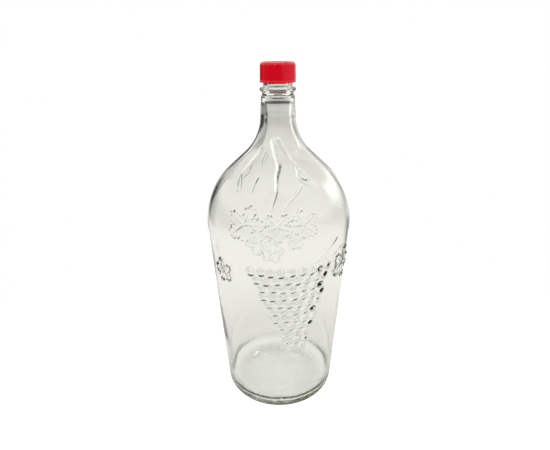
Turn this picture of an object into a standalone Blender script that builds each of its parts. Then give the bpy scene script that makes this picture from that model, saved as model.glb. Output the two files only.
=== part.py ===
"""Glass oil bottle with a screw cap.

Three separate pieces, in metres, +Z up. The bottle's axis is the Z axis and it stands on z = 0.

  bottle      hollow moulded glass: bearing ring, push-up base, tapered wall, shoulder, neck and
              a threaded finish with a transfer bead under it
  cap_liner   the soft disc that seals on the bottle's lip
  screw_cap   the plastic cap: grip ribs outside, a thread inside
"""
import math

import bmesh
import bpy

MM = 0.001

# Glass body
BODY_R = 69.0 * MM           # widest radius, on the shoulder
BASE_R = 57.8 * MM           # the straight wall's radius where it would meet z = 0
SHOULDER_Z = 193.3 * MM      # height of the widest point, and of the shoulder arc's centre
SHOULDER_ARC_R = 71.0 * MM
NECK_ARC_R = 44.0 * MM       # hollow curve from the shoulder into the neck
NECK_ARC_Z = 292.7 * MM      # height of the hollow curve's centre, where the straight neck starts
NECK_R = 15.6 * MM
HEEL_R = 9.8 * MM
RING_WIDTH = 5.0 * MM        # flat bearing ring that the bottle stands on
PUSH_UP = 4.0 * MM           # how far the middle of the base is domed up
WALL = 2.8 * MM
FLOOR = 6.0 * MM             # glass thickness in the base
INNER_HEEL_R = 13.0 * MM

# Threaded finish
LIP_Z = 332.4 * MM
BORE_R = 9.6 * MM
BORE_CONE = 9.0 * MM          # height over which the bore widens below the finish
FINISH_R = 12.6 * MM         # root of the glass thread
GLASS_THREAD_R = 13.6 * MM   # crest of the glass thread
BEAD_R = 15.6 * MM
BEAD_Z = 313.8 * MM          # middle of the transfer bead
BEAD_HALF = 1.0 * MM         # half the height of the bead's upright face
GROOVE_R = 13.7 * MM         # groove between the bead and the neck
NECK_TOP_Z = 308.6 * MM
NECK_TOP_R = 14.6 * MM
NECK_EDGE = 0.8 * MM
PITCH = 3.18 * MM            # eight threads to the inch
THREAD_TURNS = 1.5

# Cap and liner
GAP = 0.3 * MM               # clearance between pieces that touch
LINER_THICK = 1.2 * MM
LINER_R = 13.6 * MM
CAP_TOP_THICK = 1.3 * MM
CAP_BOTTOM_Z = 319.3 * MM
CAP_LIP_R = 15.6 * MM        # bead round the skirt's lower edge
CAP_LIP_HEIGHT = 1.3 * MM
CAP_SIDE_LOW_R = 15.25 * MM
CAP_SIDE_TOP_R = 14.95 * MM
CAP_EDGE_R = 2.2 * MM
CAP_BORE_R = 14.0 * MM
CAP_THREAD_R = 13.1 * MM     # crest of the cap's thread
CAP_THREAD_START = 1.6 * MM  # the thread's lower end, above the skirt's edge
RIBS = 15
RIB_HEIGHT = 0.25 * MM

LINER_BOTTOM_Z = LIP_Z + GAP
CAP_UNDERSIDE_Z = LINER_BOTTOM_Z + LINER_THICK + GAP
CAP_TOP_Z = CAP_UNDERSIDE_Z + CAP_TOP_THICK

# Facets
GLASS_SEGMENTS = 48
CAP_SEGMENTS = 6 * RIBS
THREAD_STEPS_PER_TURN = 36
THREAD_BURIED = 0.4 * MM     # how far a thread's root sits inside its wall
THREAD_FADE = 1 / 12         # share of a turn over which a thread rises at each end


def arc(centre_r, centre_z, radius, start_deg, end_deg, steps):
    """Points (r, z) on a circle, from one angle to the other, both ends included."""
    points = []
    for i in range(steps + 1):
        angle = math.radians(start_deg + (end_deg - start_deg) * i / steps)
        points.append((centre_r + radius * math.cos(angle), centre_z + radius * math.sin(angle)))
    return points


def dome(edge_r, edge_z, rise, steps):
    """A shallow dome from the axis out to its edge."""
    points = []
    for i in range(steps + 1):
        share = i / steps
        points.append((edge_r * share, edge_z + rise * (1 - share * share)))
    return points


def turned(name, outline, segments, base_z=0.0):
    """A solid of revolution about the Z axis, with its origin at height base_z.

    The outline runs from the axis round to the axis. A point is (r, z), or (r, z, rib) where rib
    is added to the radius at each of the RIBS grip ribs."""
    bm = bmesh.new()
    rings = []
    for r, z, *rib in outline:
        if r == 0:
            rings.append([bm.verts.new((0, 0, z - base_z))])
            continue
        ring = []
        for i in range(segments):
            angle = 2 * math.pi * i / segments
            at_rib = rib and i % (segments // RIBS) == 0
            radius = r + rib[0] if at_rib else r
            ring.append(bm.verts.new((radius * math.cos(angle), radius * math.sin(angle), z - base_z)))
        rings.append(ring)
    for lower, upper in zip(rings, rings[1:]):
        for i in range(segments):
            corners = [lower[i % len(lower)], lower[(i + 1) % len(lower)],
                       upper[(i + 1) % len(upper)], upper[i % len(upper)]]
            bm.faces.new(list(dict.fromkeys(corners)))
    return finish_mesh(name, bm, base_z)


def thread(name, crest_r, wall_r, start_z, start_turn, base_z=0.0):
    """A helical ridge of THREAD_TURNS turns that stands from its wall to crest_r.

    It rises from inside the wall over THREAD_FADE of a turn at both ends."""
    outward = 1 if crest_r > wall_r else -1
    root_r = wall_r - outward * THREAD_BURIED
    sunk_r = wall_r - outward * THREAD_BURIED / 2
    half_root, half_crest = 0.85 * MM, 0.35 * MM
    bm = bmesh.new()
    steps = round(THREAD_TURNS * THREAD_STEPS_PER_TURN)
    sections = []
    for i in range(steps + 1):
        turn = THREAD_TURNS * i / steps
        rise = min(1, turn / THREAD_FADE, (THREAD_TURNS - turn) / THREAD_FADE)
        top_r = sunk_r + (crest_r - sunk_r) * rise
        angle = 2 * math.pi * (start_turn + turn)
        z = start_z + PITCH * turn - base_z
        section = []
        for r, dz in ((root_r, -half_root), (top_r, -half_crest), (top_r, half_crest), (root_r, half_root)):
            section.append(bm.verts.new((r * math.cos(angle), r * math.sin(angle), z + dz)))
        sections.append(section)
    for here, there in zip(sections, sections[1:]):
        for i in range(4):
            bm.faces.new((here[i], here[(i + 1) % 4], there[(i + 1) % 4], there[i]))
    bm.faces.new(sections[0])
    bm.faces.new(sections[-1])
    ridge = finish_mesh(name, bm, base_z)
    ridge.hide_render = True
    ridge.display_type = "WIRE"
    return ridge


def finish_mesh(name, bm, base_z):
    """Turns the faces outward, shades the round ones smooth and puts the object in the scene."""
    bmesh.ops.triangulate(bm, faces=[f for f in bm.faces if len(f.verts) == 4])
    bmesh.ops.recalc_face_normals(bm, faces=bm.faces)
    mesh = bpy.data.meshes.new(name)
    bm.to_mesh(mesh)
    bm.free()
    mesh.shade_smooth()
    mesh.set_sharp_from_angle(angle=math.radians(35))
    obj = bpy.data.objects.new(name, mesh)
    obj.location.z = base_z
    bpy.context.scene.collection.objects.link(obj)
    return obj


def join_thread(obj, ridge):
    """Makes the ridge part of the same solid."""
    union = obj.modifiers.new("thread", "BOOLEAN")
    union.operation = "UNION"
    union.object = ridge


def material(obj, colour, roughness, transmission=0.0):
    """A plain Principled material of the object's own."""
    made = bpy.data.materials.new(obj.name)
    made.use_nodes = True
    shader = made.node_tree.nodes["Principled BSDF"]
    shader.inputs["Base Color"].default_value = (*colour, 1)
    shader.inputs["Roughness"].default_value = roughness
    shader.inputs["Metallic"].default_value = 0
    shader.inputs["Transmission Weight"].default_value = transmission
    obj.data.materials.append(made)


def wall_lean():
    """The wall's lean from upright, so that it runs into the shoulder arc without a kink."""
    across = BODY_R - SHOULDER_ARC_R - BASE_R
    to_centre = math.atan2(SHOULDER_Z, across)
    return math.pi / 2 - (to_centre - math.asin(SHOULDER_ARC_R / math.hypot(across, SHOULDER_Z)))


def wall_points(inset, heel_r, heel_z, heel_steps):
    """The heel arc, the wall, the shoulder arc, a straight slope and the neck arc, all inset alike.

    The heel arc starts level at heel_z and the last point is the foot of the straight neck."""
    lean = wall_lean()
    centre_z = heel_z + heel_r
    heel_r_axis = BASE_R + math.tan(lean) * centre_z - (inset + heel_r) / math.cos(lean)
    points = arc(heel_r_axis, centre_z, heel_r, -90, -math.degrees(lean), heel_steps)
    shoulder_r = BODY_R - SHOULDER_ARC_R
    neck_centre_r = NECK_R + NECK_ARC_R
    across, rise = neck_centre_r - shoulder_r, NECK_ARC_Z - SHOULDER_Z
    apart = math.hypot(across, rise)
    turn = math.degrees(math.atan2(rise, across) - math.acos((SHOULDER_ARC_R + NECK_ARC_R) / apart))
    points += arc(shoulder_r, SHOULDER_Z, SHOULDER_ARC_R - inset, -math.degrees(lean), turn, 10)
    points += arc(neck_centre_r, NECK_ARC_Z, NECK_ARC_R + inset, 180 + turn, 180, 7)
    return points


def bottle():
    """The glass: outside from the base's centre up to the lip, then inside back down to the floor."""
    outside = wall_points(0, HEEL_R, 0, 5)
    ring_outer_r = outside[0][0]
    base = dome(ring_outer_r - RING_WIDTH, 0, PUSH_UP, 3)
    finish = [
        (NECK_TOP_R, NECK_TOP_Z - NECK_EDGE),
        (NECK_TOP_R - 0.3 * NECK_EDGE, NECK_TOP_Z - 0.3 * NECK_EDGE),
        (GROOVE_R, NECK_TOP_Z),
        (GROOVE_R, BEAD_Z - BEAD_HALF - 1.4 * MM),
        (BEAD_R, BEAD_Z - BEAD_HALF),
        (BEAD_R, BEAD_Z + BEAD_HALF),
        (FINISH_R + 0.6 * MM, BEAD_Z + BEAD_HALF + 0.9 * MM),
        (FINISH_R, BEAD_Z + BEAD_HALF + 1.5 * MM),
        (FINISH_R, LIP_Z - 0.7 * MM),
        (FINISH_R - 0.7 * MM, LIP_Z),
        (BORE_R + 0.5 * MM, LIP_Z),
        (BORE_R, LIP_Z - 0.5 * MM),
        (BORE_R, NECK_TOP_Z),
        (NECK_R - WALL, NECK_TOP_Z - BORE_CONE),
    ]
    inside = wall_points(WALL, INNER_HEEL_R, FLOOR, 5)
    floor = dome(inside[0][0], FLOOR, PUSH_UP - 1.5 * MM, 3)[:-1]
    outline = base + outside + finish + inside[::-1] + floor[::-1]
    glass = turned("bottle", outline, GLASS_SEGMENTS)
    ridge = thread("bottle_thread", GLASS_THREAD_R, FINISH_R, LIP_Z - 1.9 * MM - PITCH * THREAD_TURNS, 0)
    join_thread(glass, ridge)
    material(glass, (0.9, 0.92, 0.89), 0.02, transmission=1.0)


def cap_liner():
    """The flat sealing disc, held in the cap's top just clear of the lip."""
    edge = 0.2 * MM
    outline = [
        (0, LINER_BOTTOM_Z),
        (LINER_R - edge, LINER_BOTTOM_Z),
        (LINER_R, LINER_BOTTOM_Z + edge),
        (LINER_R, LINER_BOTTOM_Z + LINER_THICK - edge),
        (LINER_R - edge, LINER_BOTTOM_Z + LINER_THICK),
        (0, LINER_BOTTOM_Z + LINER_THICK),
    ]
    disc = turned("cap_liner", outline, GLASS_SEGMENTS, base_z=LINER_BOTTOM_Z)
    material(disc, (0.88, 0.88, 0.85), 0.6)


def screw_cap():
    """The cap: over the top, down the ribbed side to the lip bead, then up inside."""
    edge_z = CAP_TOP_Z - CAP_EDGE_R
    rib_top_z = edge_z - 0.4 * MM
    lip_top_z = CAP_BOTTOM_Z + CAP_LIP_HEIGHT
    outline = [(0, CAP_TOP_Z)]
    outline += arc(CAP_SIDE_TOP_R - CAP_EDGE_R, edge_z, CAP_EDGE_R, 90, 0, 4)
    outline += [
        (CAP_SIDE_TOP_R, rib_top_z, RIB_HEIGHT),
        (CAP_SIDE_LOW_R, lip_top_z + 0.5 * MM, RIB_HEIGHT),
        (CAP_LIP_R, lip_top_z),
        (CAP_LIP_R, CAP_BOTTOM_Z + 0.5 * MM),
        (CAP_LIP_R - 0.5 * MM, CAP_BOTTOM_Z),
        (CAP_BORE_R + 0.5 * MM, CAP_BOTTOM_Z),
        (CAP_BORE_R, CAP_BOTTOM_Z + 0.5 * MM),
        (CAP_BORE_R, CAP_UNDERSIDE_Z),
        (0, CAP_UNDERSIDE_Z),
    ]
    cap = turned("screw_cap", outline, CAP_SEGMENTS, base_z=CAP_BOTTOM_Z)
    ridge = thread("screw_cap_thread", CAP_THREAD_R, CAP_BORE_R, CAP_BOTTOM_Z + CAP_THREAD_START,
                   cap_thread_turn(), base_z=CAP_BOTTOM_Z)
    join_thread(cap, ridge)
    material(cap, (0.75, 0.0, 0.03), 0.25)


def cap_thread_turn():
    """The angle, in turns, at which the cap's thread starts so that it lies midway between glass threads."""
    glass_start = LIP_Z - 1.9 * MM - PITCH * THREAD_TURNS
    cap_start = CAP_BOTTOM_Z + CAP_THREAD_START
    return (cap_start - glass_start) / PITCH - 0.5


def main():
    for obj in list(bpy.data.objects):
        bpy.data.objects.remove(obj)
    bottle()
    cap_liner()
    screw_cap()


main()
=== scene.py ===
"""Looks of the glass oil bottle: fine moulded glass with a grape vine in relief, ribbed red cap, liner.

Lengths are millimetres until a mesh is made. Those of the materials, floor and camera are metres.
Directions round the bottle are degrees from -Y, the middle of the vine, towards +X.
"""
import math

import bpy
import numpy as np
from mathutils import Matrix, Vector


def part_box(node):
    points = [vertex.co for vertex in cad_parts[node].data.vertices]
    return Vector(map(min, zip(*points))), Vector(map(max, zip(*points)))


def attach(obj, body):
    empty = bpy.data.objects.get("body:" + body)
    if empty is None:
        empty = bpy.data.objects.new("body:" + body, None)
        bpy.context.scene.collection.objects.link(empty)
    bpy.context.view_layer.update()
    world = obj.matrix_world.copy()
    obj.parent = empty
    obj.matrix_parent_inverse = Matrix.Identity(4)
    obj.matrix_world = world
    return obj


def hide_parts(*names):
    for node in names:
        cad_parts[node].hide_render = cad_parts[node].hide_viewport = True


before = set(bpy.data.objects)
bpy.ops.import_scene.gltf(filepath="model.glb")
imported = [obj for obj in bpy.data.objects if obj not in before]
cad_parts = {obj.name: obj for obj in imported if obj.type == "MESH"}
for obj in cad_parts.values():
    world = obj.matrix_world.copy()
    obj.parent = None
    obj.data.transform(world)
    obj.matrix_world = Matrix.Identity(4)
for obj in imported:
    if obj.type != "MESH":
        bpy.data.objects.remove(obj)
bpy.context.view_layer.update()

MM = 0.001

# Glass outline, as in the CAD
BODY_R, BASE_R = 69.0, 57.8
SHOULDER_Z, SHOULDER_ARC_R = 193.3, 71.0
NECK_ARC_Z, NECK_ARC_R, NECK_R = 292.7, 44.0, 15.6
HEEL_R, RING_WIDTH, PUSH_UP = 9.8, 5.0, 4.0
WALL, FLOOR, INNER_HEEL_R = 2.8, 6.0, 13.0
LIP_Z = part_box("bottle")[1].z / MM
BORE_R, FINISH_R, GLASS_THREAD_R, BORE_CONE = 9.6, 12.6, 13.6, 9.0
BEAD_R, BEAD_Z, BEAD_HALF, GROOVE_R = 15.6, 313.8, 0.9, 13.7
NECK_TOP_Z, NECK_TOP_R = 308.6, 14.6

# Cap and liner, as in the CAD
CAP_BOTTOM_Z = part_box("screw_cap")[0].z / MM
CAP_TOP_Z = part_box("screw_cap")[1].z / MM
LINER_BOTTOM_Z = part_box("cap_liner")[0].z / MM
LINER_TOP_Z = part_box("cap_liner")[1].z / MM
LINER_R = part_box("cap_liner")[1].x / MM
CAP_TOP_THICK, CAP_BORE_R, CAP_THREAD_R = 1.3, 14.0, 13.1
CAP_LIP_R, CAP_SIDE_LOW_R, CAP_SIDE_TOP_R, CAP_EDGE_R = 15.6, 15.25, 14.95, 2.2
CAP_UNDERSIDE_Z = CAP_TOP_Z - CAP_TOP_THICK
CAP_EDGE_Z = CAP_TOP_Z - CAP_EDGE_R                # where the side ends and the rounded edge begins
CAP_BEAD_HEIGHT = 1.3
CAP_BEAD_Z = CAP_BOTTOM_Z + CAP_BEAD_HEIGHT        # top of the bead round the skirt
RIBS, RIB_PHASE = 15, 5.0
RIB_PITCH = 360 / RIBS

# Threads of the glass and the cap. The cap's runs midway between the turns of the glass's.
PITCH, THREAD_TURNS = 3.18, 1.5
THREAD_ROOT, THREAD_CREST = 0.95, 0.3      # half widths of the ridge
THREAD_FADE = 1 / 12                       # turns over which it fades in and out
THREAD_BELOW_LIP, THREAD_ABOVE_SKIRT = 1.9, 1.6
GLASS_THREAD_Z = LIP_Z - THREAD_BELOW_LIP - PITCH * THREAD_TURNS
CAP_THREAD_Z = CAP_BOTTOM_Z + THREAD_ABOVE_SKIRT

ON_SURFACE = 0.05       # a point nearer than this to a radius lies on it


# ---------------------------------------------------------------- outlines

FEWEST_STEPS = 3                        # in an arc or a rounded corner
NEARLY_STRAIGHT = math.radians(88)      # a corner's half angle from which it isn't rounded
CORNER_SHARE = 0.45                     # the most that a rounded corner takes of the sides next to it
HEEL_STEP = 1.0
DOME_STEPS = 14


def arc(centre_r, centre_z, radius, start_deg, end_deg, step):
    """Points (r, z) on a circle from one angle to the other, about one step apart."""
    steps = max(FEWEST_STEPS, round(abs(math.radians(end_deg - start_deg)) * radius / step))
    angles = np.radians(np.linspace(start_deg, end_deg, steps + 1))
    return [(centre_r + radius * math.cos(a), centre_z + radius * math.sin(a)) for a in angles]


def refine(points, step):
    """The same outline with points no more than about one step apart."""
    fine = [points[0]]
    for (r0, z0), (r1, z1) in zip(points, points[1:]):
        parts = max(1, round(math.hypot(r1 - r0, z1 - z0) / step))
        fine += [(r0 + (r1 - r0) * i / parts, z0 + (z1 - z0) * i / parts) for i in range(1, parts + 1)]
    return fine


def rounded(points, radius, step):
    """The outline with its inner corners replaced by curves of that radius, less where there is no room."""
    out = [points[0]]
    for before, corner, after in zip(points, points[1:], points[2:]):
        p, c, n = np.array(before), np.array(corner), np.array(after)
        back, on = np.linalg.norm(p - c), np.linalg.norm(n - c)
        a, b = (p - c) / back, (n - c) / on
        half = math.acos(max(-1, min(1, float(a @ b)))) / 2
        if half > NEARLY_STRAIGHT:
            out.append(corner)
            continue
        cut = min(radius / math.tan(half), CORNER_SHARE * back, CORNER_SHARE * on)
        start, end = c + a * cut, c + b * cut
        steps = max(FEWEST_STEPS, round(2 * cut / step))
        for i in range(steps + 1):
            t = i / steps
            out.append(tuple((1 - t) ** 2 * start + 2 * t * (1 - t) * c + t ** 2 * end))
    out.append(points[-1])
    return out


def dome(edge_r, edge_z, rise):
    """A shallow dome from the axis out to its edge."""
    shares = [i / DOME_STEPS for i in range(DOME_STEPS + 1)]
    return [(edge_r * share, edge_z + rise * (1 - share ** 2)) for share in shares]


def wall_points(inset, heel_r, heel_z, step):
    """Heel arc, straight wall, shoulder arc, straight slope and neck arc, all inset alike."""
    shoulder_r, neck_r = BODY_R - SHOULDER_ARC_R, NECK_R + NECK_ARC_R
    to_centre = math.atan2(SHOULDER_Z, shoulder_r - BASE_R)
    distance = math.hypot(shoulder_r - BASE_R, SHOULDER_Z)
    lean = math.pi / 2 - (to_centre - math.asin(SHOULDER_ARC_R / distance))
    centre_z = heel_z + heel_r
    heel_axis = BASE_R + math.tan(lean) * centre_z - (inset + heel_r) / math.cos(lean)
    across, rise = neck_r - shoulder_r, NECK_ARC_Z - SHOULDER_Z
    reach = (SHOULDER_ARC_R + NECK_ARC_R) / math.hypot(across, rise)
    turn = math.degrees(math.atan2(rise, across) - math.acos(reach))
    points = arc(heel_axis, centre_z, heel_r, -90, -math.degrees(lean), min(step, HEEL_STEP))
    points += arc(shoulder_r, SHOULDER_Z, SHOULDER_ARC_R - inset, -math.degrees(lean), turn, step)
    points += arc(neck_r, NECK_ARC_Z, NECK_ARC_R + inset, 180 + turn, 180, step)
    return refine(points, step)


# ---------------------------------------------------------------- relief on the glass

# The vine's stems, from the neck's foot downwards: width, slope of the sides, route of (direction, z)
STEMS = [
    (5.2, 0.62, [(-23, 273), (-16, 264), (-10, 255), (-12, 248), (-12, 238), (-16, 225), (-18, 212)]),
    (2.4, 0.55, [(-20, 274), (-12, 264), (-7, 257), (-9, 250)]),
    (3.4, 0.6, [(-9, 275), (0, 268), (9, 262), (13, 256), (17, 252)]),
    (2.8, 0.58, [(17, 252), (21, 249), (20, 245), (15, 247), (13, 252), (17, 256)]),
    (2.2, 0.35, [(13, 251), (12, 247), (16, 243), (22, 241)]),
    (3.6, 0.31, [(-49, 267), (-55, 258), (-57, 249), (-55, 243), (-50, 236)]),
    (2.0, 0.3, [(-56, 247), (-49, 241), (-46, 234)]),
    (2.6, 0.3, [(-51, 254), (-48, 250), (-50, 246)]),
    (2.0, 0.3, [(-34, 265), (-36, 260), (-34, 255)]),
    (1.6, 0.3, [(-30, 263), (-33, 254)]),
    (2.4, 0.3, [(-33, 247), (-34, 240), (-34, 233), (-29, 222), (-26, 212)]),
    (2.0, 0.3, [(-32, 242), (-30, 233), (-26, 226), (-24, 218)]),
    (2.8, 0.45, [(12, 241), (6, 236), (-2, 230), (-6, 224), (-8, 216)]),
    (2.0, 0.45, [(9, 241), (4, 237), (0, 234)]),
    (2.0, 0.5, [(39, 193), (33, 187), (26, 181), (19, 176), (12, 176), (2, 178)]),
    (2.0, 0.45, [(19, 176), (26, 178), (33, 176), (40, 178), (47, 182)]),
    (1.8, 0.4, [(28, 172), (33, 178), (39, 174)]),
    (2.0, 0.4, [(37, 172), (41, 166), (36, 160), (38, 152)]),
    (1.8, 0.3, [(-62, 192), (-66, 182), (-63, 172), (-57, 165)]),
    (1.8, 0.3, [(-66, 152), (-58, 148), (-54, 141), (-50, 134)]),
    (2.0, 0.5, [(-8, 84), (-7, 76), (-4, 68), (-3, 62)]),
    (1.8, 0.5, [(-4, 84), (-2, 76), (2, 68)]),
]
ROUTE_PARTS = 6         # straight parts from one point of a route to the next
STEM_TAPER = 0.45       # width of a stem's end over that of its start
CREST = 0.1             # how round a stem's crest is, in half widths

# Leaves: direction, z, size, turn
LEAVES = [
    (8, 213, 14, 200),
    (-36, 212, 17, 158),
    (-24, 199, 12, 120),
    (-11, 212, 13, 178),
    (-15, 190, 10, 150),
    (2, 200, 8, 215),
    (51, 163, 16, 165),
    (-60, 160, 12, 200),
]
LOBES, LOBE_POWER, TEETH_PER_LOBE = 5, 0.8, 5
LEAF_CORE, LEAF_LOBE, LEAF_NOTCH, LEAF_TOOTH = 0.62, 0.38, 0.42, 0.07     # of the leaf's size
NOTCH_WIDTH = 0.32                                  # radians, where the stalk joins
LEAF_WINDOW = 1.25                                  # sizes from the leaf's middle to beyond its tips
PLATE_HEIGHT, VEIN_HEIGHT, VEIN_HALF = 0.5, 0.7, 0.75
VEIN_END = 1.15                                     # sizes from the leaf's middle to where a vein ends
RIM_HEIGHT, RIM_HALF, RIM_INSET = 2.4, 0.8, 0.7
CURL_MIDDLE, CURL_SWING = 0.62, 0.38                # the rim's height varies along it

# The grape bunch: rows of berries, half a berry over from row to row, narrowing towards the tip
BUNCH_ROWS, BUNCH_TOP_Z, ROW_PITCH = 11, 168.5, 8.3
BUNCH_HALF_TOP, BUNCH_HALF_TIP = 40.0, 8.5
BUNCH_START, BUNCH_DRIFT = -1.0, 7.0     # middle of the top row, and how far right of it the tip lies
BERRY_PITCH, BERRY_R, BERRY_HEIGHT = 9.2, 4.6, 3.0
BERRY_STRAY, SIZE_SPREAD, HEIGHT_SPREAD = 0.6, 0.06, 0.12
BERRY_POWER, BERRY_LIFT = 1.62, 0.38     # fullness of the cap, and how much more it is on top


class Relief:
    """Height of the moulded decoration over the outer glass, on a grid of rows by columns.

    Distances are measured on the glass: round it with the row's radius, and along its outline."""

    def __init__(self, radius, height_z, along, angles):
        self.radius = radius[:, None]
        self.z = height_z
        self.along = along[:, None]
        self.angles = np.radians(angles)[None, :]
        self.height = np.zeros((len(radius), len(angles)))

    def place(self, degrees, z):
        """(angle in radians, distance along the outline) of a point given by direction and height."""
        return math.radians(degrees), float(np.interp(z, self.z, self.along[:, 0]))

    def window(self, points, margin):
        """The rows and columns within margin of the points."""
        low = min(s for _, s in points) - margin
        high = max(s for _, s in points) + margin
        rows = np.flatnonzero((self.along[:, 0] > low) & (self.along[:, 0] < high))
        widest = margin / self.radius[rows].min()
        left = min(a for a, _ in points) - widest
        right = max(a for a, _ in points) + widest
        cols = np.flatnonzero((self.angles[0] > left) & (self.angles[0] < right))
        return slice(rows[0], rows[-1] + 1), slice(cols[0], cols[-1] + 1)

    def raise_to(self, rows, cols, height):
        """Raises the glass to that height where it is lower."""
        self.height[rows, cols] = np.maximum(self.height[rows, cols], height)

    def berry(self, angle, along, radius, height):
        """One grape: a round cap, domed above and falling evenly to its lower edge."""
        rows, cols = self.window([(angle, along)], radius)
        across = (self.angles[:, cols] - angle) * self.radius[rows] / radius
        up = (self.along[rows] - along) / radius
        away = np.hypot(across, up)
        rise = up / np.maximum(away, 1e-6)
        cap = 1 - away ** (BERRY_POWER + BERRY_LIFT * rise)
        self.raise_to(rows, cols, height * np.clip(cap, 0, None))

    def stem(self, route, width, slope):
        """An even-sided ridge along a smooth curve through the route's points (direction, z)."""
        points = smooth_route([self.place(d, z) for d, z in route])
        rows, cols = self.window(points, width)
        x, y = self.angles[:, cols] * self.radius[rows], self.along[rows]
        for i, ((a0, s0), (a1, s1)) in enumerate(zip(points, points[1:])):
            thinner = 1 - (1 - STEM_TAPER) * i / (len(points) - 1)
            half = width / 2 * thinner
            x0, x1 = a0 * self.radius[rows], a1 * self.radius[rows]
            dx, dy = x1 - x0, s1 - s0
            t = np.clip(((x - x0) * dx + (y - s0) * dy) / (dx ** 2 + dy ** 2), 0, 1)
            gap = np.hypot(x - x0 - t * dx, y - s0 - t * dy) / half
            ridge = 1 + CREST - np.sqrt(gap ** 2 + CREST ** 2)
            self.raise_to(rows, cols, half * slope * np.clip(ridge, 0, None))

    def leaf(self, degrees, z, size, turn):
        """A vine leaf laid over what is there: a low plate with veins, inside a raised rim."""
        angle, along = self.place(degrees, z)
        rows, cols = self.window([(angle, along)], size * LEAF_WINDOW)
        x = (self.angles[:, cols] - angle) * self.radius[rows]
        y = self.along[rows] - along
        rho = np.hypot(x, y)
        sweep = np.mod(np.arctan2(x, y) - math.radians(turn) + math.pi, 2 * math.pi) - math.pi
        edge = leaf_edge(sweep, size)
        inside = rho < edge
        plate = PLATE_HEIGHT + VEIN_HEIGHT * leaf_veins(rho, sweep, size)
        curl = CURL_MIDDLE + CURL_SWING * np.sin(sweep * (LOBES + 2) + degrees)
        profile = np.sqrt(np.clip(1 - ((rho - edge + RIM_INSET) / RIM_HALF) ** 2, 0, None))
        rim = RIM_HEIGHT * curl * profile
        old = self.height[rows, cols]
        self.height[rows, cols] = np.where(inside, np.maximum(plate, rim), np.maximum(old, rim))


def leaf_edge(sweep, size):
    """How far a leaf's edge is from its middle, by the angle from its tip: lobed, toothed and notched."""
    lobe = np.abs(np.cos(sweep * LOBES / 2)) ** LOBE_POWER
    notch = np.exp(-((np.abs(sweep) - math.pi) / NOTCH_WIDTH) ** 2)
    tooth = np.cos(sweep * LOBES * TEETH_PER_LOBE)
    return size * (LEAF_CORE + LEAF_LOBE * lobe - LEAF_NOTCH * notch + LEAF_TOOTH * tooth)


def leaf_veins(rho, sweep, size):
    """0 to 1: a leaf's round veins, one along each lobe, lower towards its tip."""
    veins = np.zeros_like(rho)
    for k in range(LOBES):
        lean = 2 * math.pi * (k - (LOBES - 1) / 2) / LOBES
        off, ahead = rho * np.sin(sweep - lean), rho * np.cos(sweep - lean)
        profile = np.sqrt(np.clip(1 - (off / VEIN_HALF) ** 2, 0, None))
        lower = np.clip(VEIN_END - ahead / size, 0, 1)
        veins = np.maximum(veins, profile * lower * (ahead > 0))
    return veins


def smooth_route(points):
    """A Catmull-Rom curve through the points."""
    p = np.array([points[0]] + points + [points[-1]], float)
    out = []
    for i in range(1, len(p) - 2):
        for j in range(ROUTE_PARTS):
            t = j / ROUTE_PARTS
            out.append(tuple(0.5 * (2 * p[i] + (p[i + 1] - p[i - 1]) * t
                                    + (2 * p[i - 1] - 5 * p[i] + 4 * p[i + 1] - p[i + 2]) * t ** 2
                                    + (3 * p[i] - p[i - 1] - 3 * p[i + 1] + p[i + 2]) * t ** 3)))
    out.append(tuple(p[-2]))
    return out


def draw_bunch(relief):
    """The bunch of grapes, row by row from the tip up. Each berry is a little off its place and size, by
    waves that are out of step with the rows."""
    for row in range(BUNCH_ROWS - 1, -1, -1):
        share = row / (BUNCH_ROWS - 1)
        angle, along = relief.place(0, BUNCH_TOP_Z - ROW_PITCH * row)
        radius = float(np.interp(along, relief.along[:, 0], relief.radius[:, 0]))
        half = BUNCH_HALF_TOP + (BUNCH_HALF_TIP - BUNCH_HALF_TOP) * share
        middle = BUNCH_DRIFT * share + BUNCH_START
        count = max(1, round(2 * half / BERRY_PITCH))
        for i in range(count):
            across = middle + (i - (count - 1) / 2) * BERRY_PITCH
            stray = BERRY_STRAY * math.sin(3.1 * row + 1.7 * i)
            size = BERRY_R * (1 + SIZE_SPREAD * math.cos(2.3 * row + 4.1 * i))
            height = BERRY_HEIGHT * (1 + HEIGHT_SPREAD * math.sin(5.3 * row + 2.9 * i))
            relief.berry(angle + (across + stray) / radius, along + stray, size, height)


def draw_vine(relief):
    """Stems, then the leaves over them, then the bunch."""
    for width, slope, route in STEMS:
        relief.stem(route, width, slope)
    for degrees, z, size, turn in LEAVES:
        relief.leaf(degrees, z, size, turn)
    draw_bunch(relief)


# ---------------------------------------------------------------- turned meshes

def lathe(name, bands):
    """A closed solid turned round Z, from the axis back to the axis.

    The first and last bands are the heights of its two points on the axis. Each band between them is
    (r, z, angles): two grids of rows by columns, and the columns' directions."""
    first_z, last_z = bands[0], bands[-1]
    points, faces, rings = [(0, 0, first_z)], [], []
    for r, z, angles in bands[1:-1]:
        turn = np.radians(angles)[None, :]
        grid = np.stack([r * np.sin(turn), -r * np.cos(turn), z + 0 * turn], axis=-1)
        for row in grid:
            rings.append((list(range(len(points), len(points) + len(angles))), angles))
            points += row.tolist()
    points.append((0, 0, last_z))
    for (ring, angles), (upper, upper_angles) in zip(rings, rings[1:]):
        faces += strip(ring, angles, upper, upper_angles)
    bottom, top = rings[0][0], rings[-1][0]
    faces += [(0, b, a) for a, b in zip(bottom, bottom[1:] + bottom[:1])]
    faces += [(len(points) - 1, a, b) for a, b in zip(top, top[1:] + top[:1])]
    mesh = bpy.data.meshes.new(name)
    mesh.from_pydata([(x * MM, y * MM, z * MM) for x, y, z in points], [], faces)
    mesh.shade_smooth()
    obj = bpy.data.objects.new(name, mesh)
    bpy.context.scene.collection.objects.link(obj)
    return obj


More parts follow.
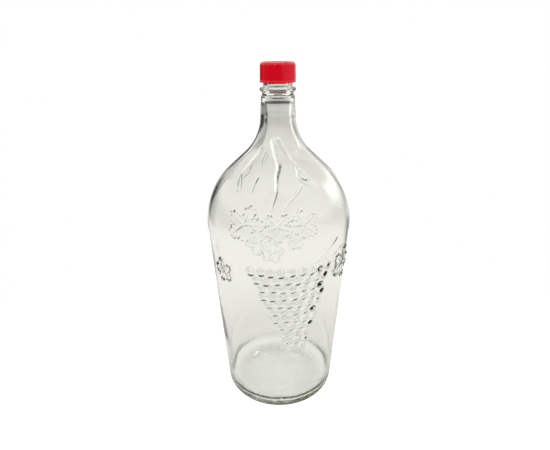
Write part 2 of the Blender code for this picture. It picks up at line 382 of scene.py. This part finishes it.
def strip(lower, lower_angles, upper, upper_angles):
    """Faces between two rings. Where one has more points, they are gathered into the other's wider cells."""
    if len(lower) == len(upper):
        low_next, up_next = lower[1:] + lower[:1], upper[1:] + upper[:1]
        return list(zip(lower, low_next, up_next, upper))
    wide_below = len(lower) < len(upper)
    wide, wide_angles = (lower, lower_angles) if wide_below else (upper, upper_angles)
    fine, fine_angles = (upper, upper_angles) if wide_below else (lower, lower_angles)
    starts = [int(np.argmin(np.abs(np.array(fine_angles) - a))) for a in wide_angles]
    faces = []
    for i, start in enumerate(starts):
        end = starts[i + 1] if i + 1 < len(starts) else len(fine)
        along_fine = [fine[j % len(fine)] for j in range(start, end + 1)]
        pair = [wide[i], wide[(i + 1) % len(wide)]]
        faces.append(tuple(pair + along_fine[::-1]) if wide_below else tuple(along_fine + pair[::-1]))
    return faces


def flip_if_inward(obj):
    """Turns the mesh's faces outward if its signed volume is negative."""
    mesh = obj.data
    mesh.calc_loop_triangles()
    corners = np.empty(len(mesh.loop_triangles) * 3, np.int32)
    mesh.loop_triangles.foreach_get("vertices", corners)
    places = np.empty(len(mesh.vertices) * 3)
    mesh.vertices.foreach_get("co", places)
    p = places.reshape(-1, 3)[corners.reshape(-1, 3)]
    if np.einsum("ij,ij->i", p[:, 0], np.cross(p[:, 1], p[:, 2])).sum() < 0:
        mesh.flip_normals()


def normals(r, z):
    """Unit outward normals of an outline whose inside is to its left."""
    dr, dz = np.gradient(r), np.gradient(z)
    size = np.hypot(dr, dz)
    return dz / size, -dr / size


def offset(outline, height):
    """Grids of r and z for an outline moved outward by a height at each row and column."""
    r, z = np.array(outline).T
    nr, nz = normals(r, z)
    return r[:, None] + height * nr[:, None], z[:, None] + height * nz[:, None]


def helix_height(z, angles, start_z, start_turn):
    """0 to 1: how far a thread stands at each row and column, faded in and out at its ends. Its turns are
    counted from +X."""
    turn = np.mod(angles / 360 - 0.25 - start_turn, 1.0)[None, :]
    height = np.zeros((len(z), len(angles)))
    for lap in range(math.ceil(THREAD_TURNS)):
        t = turn + lap
        dz = np.abs(z[:, None] - (start_z + PITCH * t))
        ridge = np.clip((THREAD_ROOT - dz) / (THREAD_ROOT - THREAD_CREST), 0, 1)
        ridge = ridge * ridge * (3 - 2 * ridge)
        fade = np.clip(np.minimum(t, THREAD_TURNS - t) / THREAD_FADE, 0, 1)
        height = np.maximum(height, ridge * fade)
    return height


# ---------------------------------------------------------------- glass

FINE_FROM, FINE_TO = -72.0, 66.0            # directions between which the vine lies
FINE_STEP, WIDE_STEP, BASE_STEP = 0.46, 3.0, 1.5
VINE_LOW_Z, VINE_HIGH_Z = 56.0, 279.0
OUTER_STEP, INNER_STEP = 0.55, 1.8          # along the outlines
GLASS_BARS, BAR_DEPTH, BAR_FADE = 60, 0.3, 1.0
SEAM_HEIGHT, SEAM_WIDTH = 0.2, 1.2          # millimetres high, degrees wide
INNER_PUSH_UP = PUSH_UP - 1.5
BORE_BEND_R = 16                            # between bore and neck
THREAD_ABOVE_BEAD = 2.6

# Unevenness of the inner skin: long waves below one height and ripples below another, each full that
# much lower. A sum of them reaches about the number given last.
WAVE_TOP_Z, WAVE_FADE, WAVE_DEPTH = 300, 30, 0.3
WAVE_SEED, WAVE_COUNT, WAVE_SUM = 7, 14, 6
RIPPLE_TOP_Z, RIPPLE_FADE, RIPPLE_DEPTH = 34, 20, 0.32
RIPPLE_SEED, RIPPLE_COUNT, RIPPLE_SUM = 11, 9, 5
ABOUT_TURN = 6.28                           # radians


def column_angles():
    """Directions of the wall's columns: closely spaced across the vine, wider round the back."""
    fine = np.arange(FINE_FROM, FINE_TO + FINE_STEP / 2, FINE_STEP)
    wide = np.arange(FINE_TO + WIDE_STEP, FINE_FROM + 360 - WIDE_STEP / 2, WIDE_STEP)
    return np.concatenate([fine, wide])


def even_angles(step):
    """Directions all round, starting with the wall's first column."""
    return np.arange(FINE_FROM, FINE_FROM + 360 - step / 2, step)


def waves(angles, z):
    """The gentle unevenness of blown glass, about -1 to 1, from a few long waves."""
    random = np.random.default_rng(WAVE_SEED)
    a = np.radians(angles)[None, :]
    total = np.zeros((len(z), len(angles)))
    for _ in range(WAVE_COUNT):
        around = random.integers(1, 9)
        per_mm = random.uniform(0.01, 0.09)
        size = random.uniform(0.4, 1)
        phase = random.uniform(0, ABOUT_TURN)
        total += size * np.sin(around * a + per_mm * z[:, None] + phase)
    return total / WAVE_SUM


def ripples(r, angles):
    """Shallow ripples that cross the glass floor every way, about -1 to 1, where the molten glass settled."""
    random = np.random.default_rng(RIPPLE_SEED)
    a = np.radians(angles)[None, :]
    total = np.zeros((len(r), len(angles)))
    for _ in range(RIPPLE_COUNT):
        way = random.uniform(0, ABOUT_TURN)
        length = random.uniform(16, 48)
        phase = random.uniform(0, ABOUT_TURN)
        total += np.sin(ABOUT_TURN * r[:, None] * np.cos(a - way) / length + phase)
    return total / RIPPLE_SUM


def base_band(base, heel):
    """The dome under the base and the heel, with short bars pressed across the ring it stands on."""
    r, z = np.array(base[1:] + heel).T
    angles = even_angles(BASE_STEP)
    bar = 0.5 - 0.5 * np.cos(np.radians(angles) * GLASS_BARS)
    ring_middle = heel[0][0] - RING_WIDTH / 2
    on_ring = np.clip(1 - np.abs(r - ring_middle) / (RING_WIDTH / 2 + BAR_FADE), 0, 1)
    dent = BAR_DEPTH * np.sqrt(on_ring)[:, None] * bar[None, :]
    return r[:, None] + 0 * dent, z[:, None] + dent, angles


def seam(angles):
    """The fine raised lines, one on each side, where the halves of the mould met."""
    from_side = np.mod(angles, 180) - 90
    return SEAM_HEIGHT * np.exp(-(from_side / SEAM_WIDTH) ** 2)[None, :]


def wall_band(outline):
    """The wall between heel and neck, with the vine on its front."""
    points = np.array(outline)
    steps = np.hypot(*np.diff(points, axis=0).T)
    along = np.concatenate([[0], np.cumsum(steps)])
    angles = column_angles()
    relief = Relief(points[:, 0], points[:, 1], along, angles)
    draw_vine(relief)
    height = np.maximum(relief.height, seam(angles))
    return (*offset(outline, height), angles)


def finish_band(outline):
    """The neck's top, bead and threaded finish, over the lip and down into the bore."""
    angles = even_angles(WIDE_STEP)
    r, z = np.array(outline).T
    threaded = (r > FINISH_R - ON_SURFACE) & (z > BEAD_Z + THREAD_ABOVE_BEAD)
    ridge = helix_height(z, angles, GLASS_THREAD_Z, 0.0) * threaded[:, None]
    return (*offset(outline, ridge * (GLASS_THREAD_R - FINISH_R)), angles)


def inner_band(outline):
    """The inner skin, gently uneven as blown glass is, with ripples in the floor."""
    angles = even_angles(WIDE_STEP)
    r, z = np.array(outline).T
    below_bore = np.clip((WAVE_TOP_Z - z) / WAVE_FADE, 0, 1)[:, None]
    near_floor = np.clip((RIPPLE_TOP_Z - z) / RIPPLE_FADE, 0, 1)[:, None]
    uneven = WAVE_DEPTH * waves(angles, z) * below_bore + RIPPLE_DEPTH * ripples(r, angles) * near_floor
    return (*offset(outline, uneven), angles)


def finish_outline(neck_end):
    """From the end of the neck over the bead, the threaded finish and the lip into the bore."""
    corners = [
        neck_end,
        (NECK_TOP_R, NECK_TOP_Z - 0.8),
        (NECK_TOP_R - 0.1, NECK_TOP_Z),
        (GROOVE_R, NECK_TOP_Z),
        (GROOVE_R, BEAD_Z - 2.4),
        (BEAD_R, BEAD_Z - BEAD_HALF),
        (BEAD_R, BEAD_Z + BEAD_HALF),
        (FINISH_R + 0.4, BEAD_Z + 2.1),
        (FINISH_R, BEAD_Z + 3.2),
        (FINISH_R, LIP_Z),
        (BORE_R, LIP_Z),
        (BORE_R, LIP_Z - 3),
    ]
    return refine(rounded(corners, 0.55, 0.25), 0.35)


def inner_outline(bore_start):
    """From the bore down the inner wall to the middle of the glass floor."""
    wall = wall_points(WALL, INNER_HEEL_R, FLOOR, INNER_STEP)[::-1]
    bore = rounded([
        bore_start,
        (BORE_R, NECK_TOP_Z + 4),
        (NECK_R - WALL, NECK_TOP_Z - BORE_CONE / 2),
        wall[0],
        wall[3],
    ], BORE_BEND_R, 0.8)
    floor = dome(wall[-1][0], FLOOR, INNER_PUSH_UP)[::-1]
    return refine(bore, 1.2)[1:] + wall[4:-1] + floor


def make_bottle():
    """The glass: outer skin with the vine, threaded finish and inner skin, as one closed solid. Its rows
    are wider apart below and above the vine."""
    outer = wall_points(0, HEEL_R, 0, OUTER_STEP)
    low = next(i for i, (_, z) in enumerate(outer) if z > VINE_LOW_Z)
    high = next(i for i, (_, z) in enumerate(outer) if z > VINE_HIGH_Z)
    base = refine(dome(outer[0][0] - RING_WIDTH, 0, PUSH_UP) + [outer[0]], HEEL_STEP)[:-1]
    finish = finish_outline(outer[-1])
    inside = inner_outline(finish[-1])
    glass = lathe("bottle_glass", [
        base[0][1],
        base_band(base, outer[:low:3]),
        wall_band(outer[low:high]),
        finish_band(outer[high::2] + finish[1:]),
        inner_band(inside[:-1]),
        inside[-1][1],
    ])
    glass.data.materials.append(glass_material())
    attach(glass, "bottle")
    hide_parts("bottle")


# ---------------------------------------------------------------- cap and liner

GRIP_HEIGHT, GRIP_HALF, GRIP_FADE = 0.27, 0.62, 0.5           # the cap's ribs, which fade at both ends
PRESSED_R, PRESSED_WIDTH, PRESSED_DEPTH = 11.0, 0.9, 0.18     # the ring that the lip leaves in the liner
COLUMNS_PER_RIB, LINER_COLUMNS = 16, 120


def cap_outline():
    """The cap's outline from the middle of its top round to the middle of its underside, and the number of
    its points down to the skirt's lower edge."""
    flat_r, under_r = CAP_SIDE_TOP_R - CAP_EDGE_R, CAP_BORE_R - 1.5
    top = [(r, CAP_TOP_Z) for r in np.linspace(0, flat_r, 9)][:-1]
    edge = arc(flat_r, CAP_EDGE_Z, CAP_EDGE_R, 90, 0, 0.2)
    side = refine(rounded([
        edge[-1],
        (CAP_SIDE_LOW_R, CAP_BEAD_Z + 0.5),
        (CAP_LIP_R, CAP_BEAD_Z),
        (CAP_LIP_R, CAP_BOTTOM_Z + 0.45),
        (CAP_LIP_R - 0.5, CAP_BOTTOM_Z),
        (CAP_BORE_R + 0.4, CAP_BOTTOM_Z),
        (CAP_BORE_R, CAP_BOTTOM_Z + 0.5),
        (CAP_BORE_R, CAP_UNDERSIDE_Z),
        (under_r, CAP_UNDERSIDE_Z),
    ], 0.3, 0.12), 0.45)
    under = [(r, CAP_UNDERSIDE_Z) for r in np.linspace(under_r, 0, 10)][1:]
    lowest = next(i for i, (_, z) in enumerate(side) if z <= CAP_BOTTOM_Z + 0.01)
    return np.array(top + edge + side[1:] + under), len(top) + len(edge) + lowest


def cap_ribs(z, angles):
    """Height of the upright round ribs between the bead and the rounded edge."""
    from_rib = np.mod(angles - RIB_PHASE + RIB_PITCH / 2, RIB_PITCH) - RIB_PITCH / 2
    across = from_rib * math.pi / 180 * CAP_SIDE_LOW_R
    profile = np.clip(1 - (across / GRIP_HALF) ** 2, 0, 1)[None, :]
    below_edge = np.clip((CAP_EDGE_Z + 0.15 - z) / GRIP_FADE, 0, 1)
    above_bead = np.clip((z - CAP_BEAD_Z - 0.3) / GRIP_FADE, 0, 1)
    return GRIP_HEIGHT * profile * (below_edge * above_bead)[:, None]


def make_cap():
    """The red cap: ribbed side, bead round the skirt, thread inside."""
    angles = np.linspace(0, 360, COLUMNS_PER_RIB * RIBS + 1)[:-1]
    outline, outer_points = cap_outline()
    r, z = outline.T
    outside = np.arange(len(r)) < outer_points
    bore = ~outside & (np.abs(r - CAP_BORE_R) < ON_SURFACE)
    start_turn = (CAP_THREAD_Z - GLASS_THREAD_Z) / PITCH - 0.5
    ridge = helix_height(z, angles, CAP_THREAD_Z, start_turn) * (CAP_BORE_R - CAP_THREAD_R)
    height = cap_ribs(z, angles) * outside[:, None] - ridge * bore[:, None]
    grid_r, grid_z = r[:, None] + height, z[:, None] + 0 * height
    cap = lathe("cap_shell", [z[0], (grid_r[1:-1], grid_z[1:-1], angles), z[-1]])
    cap.data.materials.append(cap_material())
    flip_if_inward(cap)
    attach(cap, "cap")
    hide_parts("screw_cap")


def make_liner():
    """The foam disc, with the ring that the lip has pressed into it."""
    angles = np.linspace(0, 360, LINER_COLUMNS + 1)[:-1]
    outline = rounded([
        (0, LINER_BOTTOM_Z),
        (LINER_R, LINER_BOTTOM_Z),
        (LINER_R, LINER_TOP_Z),
        (0, LINER_TOP_Z),
    ], 0.35, 0.08)
    r, z = np.array(refine(outline, 0.35)).T
    underside = z < LINER_BOTTOM_Z + 0.1
    z = z + PRESSED_DEPTH * np.exp(-((r - PRESSED_R) / PRESSED_WIDTH) ** 4) * underside
    ones = np.ones((1, len(angles)))
    liner = lathe("liner_disc", [z[0], (r[1:-1, None] * ones, z[1:-1, None] * ones, angles), z[-1]])
    liner.data.materials.append(liner_material())
    flip_if_inward(liner)
    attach(liner, "liner")
    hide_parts("cap_liner")


# ---------------------------------------------------------------- nodes

def new_material(name):
    """A material with its node tree and its Principled node."""
    made = bpy.data.materials.new(name)
    made.use_nodes = True
    tree = made.node_tree
    return made, tree, tree.nodes["Principled BSDF"]


def fill(node, values):
    """Sets the node's inputs by name."""
    for name, value in values.items():
        node.inputs[name].default_value = value


def value_of(tree, operation, *given):
    """The output of a Math node whose inputs are sockets or numbers."""
    node = tree.nodes.new("ShaderNodeMath")
    node.operation = operation
    for socket, value in zip(node.inputs, given):
        if isinstance(value, (int, float)):
            socket.default_value = value
        else:
            tree.links.new(value, socket)
    return node.outputs[0]


def smoothstep(tree, value, start, end, top=1.0):
    """A value that goes smoothly from 0 at start to top at end. The end may be below the start."""
    node = tree.nodes.new("ShaderNodeMapRange")
    node.interpolation_type = "SMOOTHSTEP"
    fill(node, {"From Min": start, "From Max": end, "To Max": top})
    tree.links.new(value, node.inputs["Value"])
    return node.outputs["Result"]


def along_axis(tree, direction, axis):
    """How far the direction goes along an axis."""
    dot = tree.nodes.new("ShaderNodeVectorMath")
    dot.operation = "DOT_PRODUCT"
    dot.inputs[1].default_value = axis
    tree.links.new(direction, dot.inputs[0])
    return dot.outputs["Value"]


def object_place(tree):
    """The place of a point in the object's own coordinates."""
    return tree.nodes.new("ShaderNodeTexCoord").outputs["Object"]


def texture(tree, kind, place, scale):
    """A texture node of that kind, so many features to the metre."""
    node = tree.nodes.new(kind)
    node.inputs["Scale"].default_value = scale
    tree.links.new(place, node.inputs["Vector"])
    return node


def two_tone(tree, value, first, second):
    """A colour that goes from one to the other. Each is given as (value where it is reached, colour)."""
    ramp = tree.nodes.new("ShaderNodeValToRGB")
    for stop, (position, colour) in zip(ramp.color_ramp.elements, (first, second)):
        stop.position = position
        stop.color = colour + (1,)
    tree.links.new(value, ramp.inputs["Fac"])
    return ramp.outputs["Color"]


def add_bump(tree, shader, height, distance, strength=1.0):
    """Bumps that distance deep on the shader's surface."""
    bump = tree.nodes.new("ShaderNodeBump")
    fill(bump, {"Strength": strength, "Distance": distance})
    tree.links.new(height, bump.inputs["Height"])
    tree.links.new(bump.outputs["Normal"], shader.inputs["Normal"])


# ---------------------------------------------------------------- materials

STIPPLE_TOP, STIPPLE_HEIGHT = 0.034, 4.0        # how far up it goes, and its height over the swell's
SKIN_DEPTH = 0.00006                            # metres


def glass_material():
    """Clear soda glass with a faint olive tint that deepens where it is thick. Its skin is faintly uneven,
    and stippled round the heel and under the base."""
    made, tree, shader = new_material("clear_glass")
    place = object_place(tree)
    swell = texture(tree, "ShaderNodeTexNoise", place, 40)
    stipple = texture(tree, "ShaderNodeTexVoronoi", place, 420)
    up = tree.nodes.new("ShaderNodeSeparateXYZ")
    tree.links.new(place, up.inputs[0])
    heel = smoothstep(tree, up.outputs["Z"], STIPPLE_TOP, STIPPLE_TOP * 0.4)
    pits = value_of(tree, "MULTIPLY", stipple.outputs["Distance"], heel)
    height = value_of(tree, "MULTIPLY_ADD", pits, STIPPLE_HEIGHT, swell.outputs["Fac"])
    add_bump(tree, shader, height, SKIN_DEPTH)
    fill(shader, {"Base Color": (0.985, 0.99, 0.98, 1), "Roughness": 0.0, "IOR": 1.52})
    fill(shader, {"Transmission Weight": 1.0})
    absorb = tree.nodes.new("ShaderNodeVolumeAbsorption")
    fill(absorb, {"Color": (0.44, 0.56, 0.12, 1), "Density": 9.0})
    tree.links.new(absorb.outputs[0], tree.nodes["Material Output"].inputs["Volume"])
    return made


def cap_material():
    """Glossy red moulded plastic, faintly blotched, with an orange-peel skin."""
    made, tree, shader = new_material("red_plastic")
    place = object_place(tree)
    blotch = texture(tree, "ShaderNodeTexNoise", place, 180)
    blotch.inputs["Detail"].default_value = 3
    colour = two_tone(tree, blotch.outputs["Fac"], (0.3, (0.70, 0.0, 0.012)), (0.7, (0.76, 0.0, 0.018)))
    tree.links.new(colour, shader.inputs["Base Color"])
    peel = texture(tree, "ShaderNodeTexNoise", place, 900)
    add_bump(tree, shader, peel.outputs["Fac"], 0.0002, 0.06)
    fill(shader, {"Roughness": 0.16, "IOR": 1.45})
    return made


def liner_material():
    """Off-white closed-cell foam with a fine pitted skin."""
    made, tree, shader = new_material("white_foam")
    cells = texture(tree, "ShaderNodeTexVoronoi", object_place(tree), 1400).outputs["Distance"]
    colour = two_tone(tree, cells, (0.0, (0.78, 0.77, 0.72)), (1.0, (0.86, 0.86, 0.83)))
    tree.links.new(colour, shader.inputs["Base Color"])
    add_bump(tree, shader, cells, 0.0001, 0.4)
    fill(shader, {"Roughness": 0.6})
    return made


# ---------------------------------------------------------------- studio

FLOOR_RADIUS, FLOOR_CORNERS, FLOOR_DROP = 0.45, 96, 0.0003
FLOOR_GREY, FLOOR_GLOW, DIRECT_GLOW = 0.2, 0.55, 0.7
CAUSTIC_RADIUS, CAUSTIC_WIDTH, CAUSTIC_GLOW = 0.055, 0.013, 0.12     # ring of light painted into the floor's glow under the heel, where the heel would gather light
SHADE_REACH, SHADE_GLOW = 0.24, 0.1           # painted shadow: the floor's glow is lower near the bottle and higher away from it
LIGHT_TINT = (1.0, 0.985, 0.95, 1)
DARKEST = 0.02                                # of the surroundings, however many flags overlap

# Brightness of the surroundings by the sine of the elevation, as the glass and cap see them
SKY = [(-1.0, 0.88), (-0.37, 0.87), (-0.27, 0.77), (-0.21, 0.69), (-0.17, 0.6), (-0.1, 0.48), (0.05, 0.38),
       (0.2, 1.1), (0.6, 1.2), (1.0, 1.5)]

# Soft panels: direction round the bottle, elevation, width, height, brightness and softness of the edge.
# Those below zero are dark flags.
PANELS = [
    (93, 42, 8, 14, 0.9, 0.7),             # high on the right
    (105, 22, 8, 14, 2.4, 0.8),            # on the right
    (152, -7, 12, 18, 0.62, 0.35),         # low, behind on the right
    (170, 45, 20, 5, 9.0, 0.4),            # a strip high behind
    (170, 4, 38, 22, -0.42, 0.12),         # flag straight behind
    (-146, -8, 34, 18, -0.5, 0.25),        # flag behind on the left
    (-171, -10.5, 16, 5, -0.55, 0.25),     # low flag behind
    (-45, 2, 130, 26, -0.36, 0.2),         # broad flag in front on the left
]


def floor_material():
    """Pale and matt, with a ring of painted light under the heel and painted shadow round the bottle, where
    its glow is lower than farther away. Seen directly, it is as white as the backdrop."""
    made, tree, shader = new_material("pale_floor")
    fill(shader, {"Base Color": (FLOOR_GREY,) * 3 + (1,), "Roughness": 0.9, "Specular IOR Level": 0.0})
    reach = tree.nodes.new("ShaderNodeVectorMath")
    reach.operation = "LENGTH"
    tree.links.new(object_place(tree), reach.inputs[0])
    reach = reach.outputs["Value"]
    # painted light: a bright ring added to the floor's glow under the heel
    off_ring = value_of(tree, "ABSOLUTE", value_of(tree, "SUBTRACT", reach, CAUSTIC_RADIUS))
    caustic = smoothstep(tree, off_ring, CAUSTIC_WIDTH, CAUSTIC_WIDTH * 0.3, CAUSTIC_GLOW)
    # painted shadow: the floor glows less near the bottle and more away from it
    glow_beyond_painted_shadow = smoothstep(tree, reach, SHADE_REACH * 0.4, SHADE_REACH, SHADE_GLOW)
    seen = tree.nodes.new("ShaderNodeLightPath").outputs["Is Camera Ray"]
    glow = value_of(tree, "MULTIPLY_ADD", seen, DIRECT_GLOW, FLOOR_GLOW)
    glow = value_of(tree, "ADD", glow, caustic)
    glow = value_of(tree, "ADD", glow, glow_beyond_painted_shadow)
    shader.inputs["Emission Color"].default_value = LIGHT_TINT
    tree.links.new(glow, shader.inputs["Emission Strength"])
    return made


def make_floor():
    """A wide pale disc that is not part of the object."""
    mesh = bpy.data.meshes.new("floor")
    ring = [2 * math.pi * i / FLOOR_CORNERS for i in range(FLOOR_CORNERS)]
    points = [(FLOOR_RADIUS * math.cos(a), FLOOR_RADIUS * math.sin(a), 0) for a in ring]
    mesh.from_pydata(points, [], [tuple(range(FLOOR_CORNERS))])
    floor = bpy.data.objects.new("floor", mesh)
    bpy.context.scene.collection.objects.link(floor)
    floor.data.materials.append(floor_material())
    floor.location.z = -FLOOR_DROP


def sky(tree, direction):
    """The brightness of the surroundings at a direction's elevation."""
    place = value_of(tree, "MULTIPLY_ADD", along_axis(tree, direction, (0, 0, 1)), 0.5, 0.5)
    ramp = tree.nodes.new("ShaderNodeValToRGB")
    tree.links.new(place, ramp.inputs["Fac"])
    elements = ramp.color_ramp.elements
    brightest = max(level for _, level in SKY)
    for i, (sine, level) in enumerate(SKY):
        if 0 < i < len(SKY) - 1:
            stop = elements.new((sine + 1) / 2)
        else:
            stop = elements[-1 if i else 0]
        stop.color = (level / brightest,) * 3 + (1,)
    return value_of(tree, "MULTIPLY", ramp.outputs["Color"], brightest)


def panel(tree, direction, azimuth, elevation, width, height, level, softness):
    """The brightness of one soft rectangular light in the surroundings. Its sides are in degrees."""
    a, e = math.radians(azimuth), math.radians(elevation)
    away = Vector((math.sin(a) * math.cos(e), -math.cos(a) * math.cos(e), math.sin(e)))
    side = Vector((math.cos(a), math.sin(a), 0))
    above = away.cross(side)
    mask = value_of(tree, "GREATER_THAN", along_axis(tree, direction, away), 0)
    for axis, size in ((side, width), (above, height)):
        half = math.sin(math.radians(size / 2))
        off = value_of(tree, "ABSOLUTE", along_axis(tree, direction, axis))
        within = smoothstep(tree, off, half * (1 + softness), half * (1 - softness))
        mask = value_of(tree, "MULTIPLY", mask, within)
    return value_of(tree, "MULTIPLY", mask, level)


def make_world():
    """Studio surroundings: pale below, darkest about the horizon, a bright ceiling, soft panels and flags.
    Seen directly they are plain white."""
    world = bpy.data.worlds.new("studio")
    bpy.context.scene.world = world
    world.use_nodes = True
    tree = world.node_tree
    direction = tree.nodes.new("ShaderNodeTexCoord").outputs["Generated"]
    total = sky(tree, direction)
    for spec in PANELS:
        total = value_of(tree, "ADD", total, panel(tree, direction, *spec))
    total = value_of(tree, "MAXIMUM", total, DARKEST)
    surround = tree.nodes["Background"]
    surround.inputs["Color"].default_value = LIGHT_TINT
    tree.links.new(total, surround.inputs["Strength"])
    white = tree.nodes.new("ShaderNodeBackground")
    white.inputs["Color"].default_value = (1, 1, 1, 1)
    seen = tree.nodes.new("ShaderNodeLightPath").outputs["Is Camera Ray"]
    choose = tree.nodes.new("ShaderNodeMixShader")
    tree.links.new(seen, choose.inputs["Fac"])
    tree.links.new(surround.outputs[0], choose.inputs[1])
    tree.links.new(white.outputs[0], choose.inputs[2])
    tree.links.new(choose.outputs[0], tree.nodes["World Output"].inputs["Surface"])


AZIMUTH, PITCH_DOWN, ROLL = -10.0, 25.0, -0.38
CAMERA_AWAY, CAMERA_UP, CLIP_START = 0.3811, 0.3455, 0.01
SENSOR_WIDTH = 36
FOCAL_SHARE = 415.1 / 550      # focal length over the picture's width
SHIFT_X, SHIFT_Y = -0.0070, 0.0310


def make_camera():
    """The camera: a short lens close by, looking down at the bottle."""
    camera = bpy.data.cameras.new("camera")
    camera.sensor_width = SENSOR_WIDTH
    camera.lens = SENSOR_WIDTH * FOCAL_SHARE
    camera.shift_x, camera.shift_y = SHIFT_X, SHIFT_Y
    camera.clip_start = CLIP_START
    obj = bpy.data.objects.new("camera", camera)
    turn = math.radians(AZIMUTH)
    obj.location = (CAMERA_AWAY * math.sin(turn), -CAMERA_AWAY * math.cos(turn), CAMERA_UP)
    obj.rotation_euler = (
        Matrix.Rotation(turn, 3, "Z")
        @ Matrix.Rotation(math.radians(90 - PITCH_DOWN), 3, "X")
        @ Matrix.Rotation(math.radians(ROLL), 3, "Z")
    ).to_euler()
    bpy.context.scene.collection.objects.link(obj)
    bpy.context.scene.camera = obj


LIGHT_BOUNCES, CLEAR_BOUNCES = 24, 16       # enough for light to cross the bottle's walls and the relief


def set_view():
    """The colours' transform, and how often light may pass through glass."""
    scene = bpy.context.scene
    scene.view_settings.view_transform = "Standard"
    scene.cycles.max_bounces = LIGHT_BOUNCES
    scene.cycles.transmission_bounces = LIGHT_BOUNCES
    scene.cycles.transparent_max_bounces = CLEAR_BOUNCES


make_camera()
make_bottle()
make_cap()
make_liner()
make_floor()
make_world()
set_view()
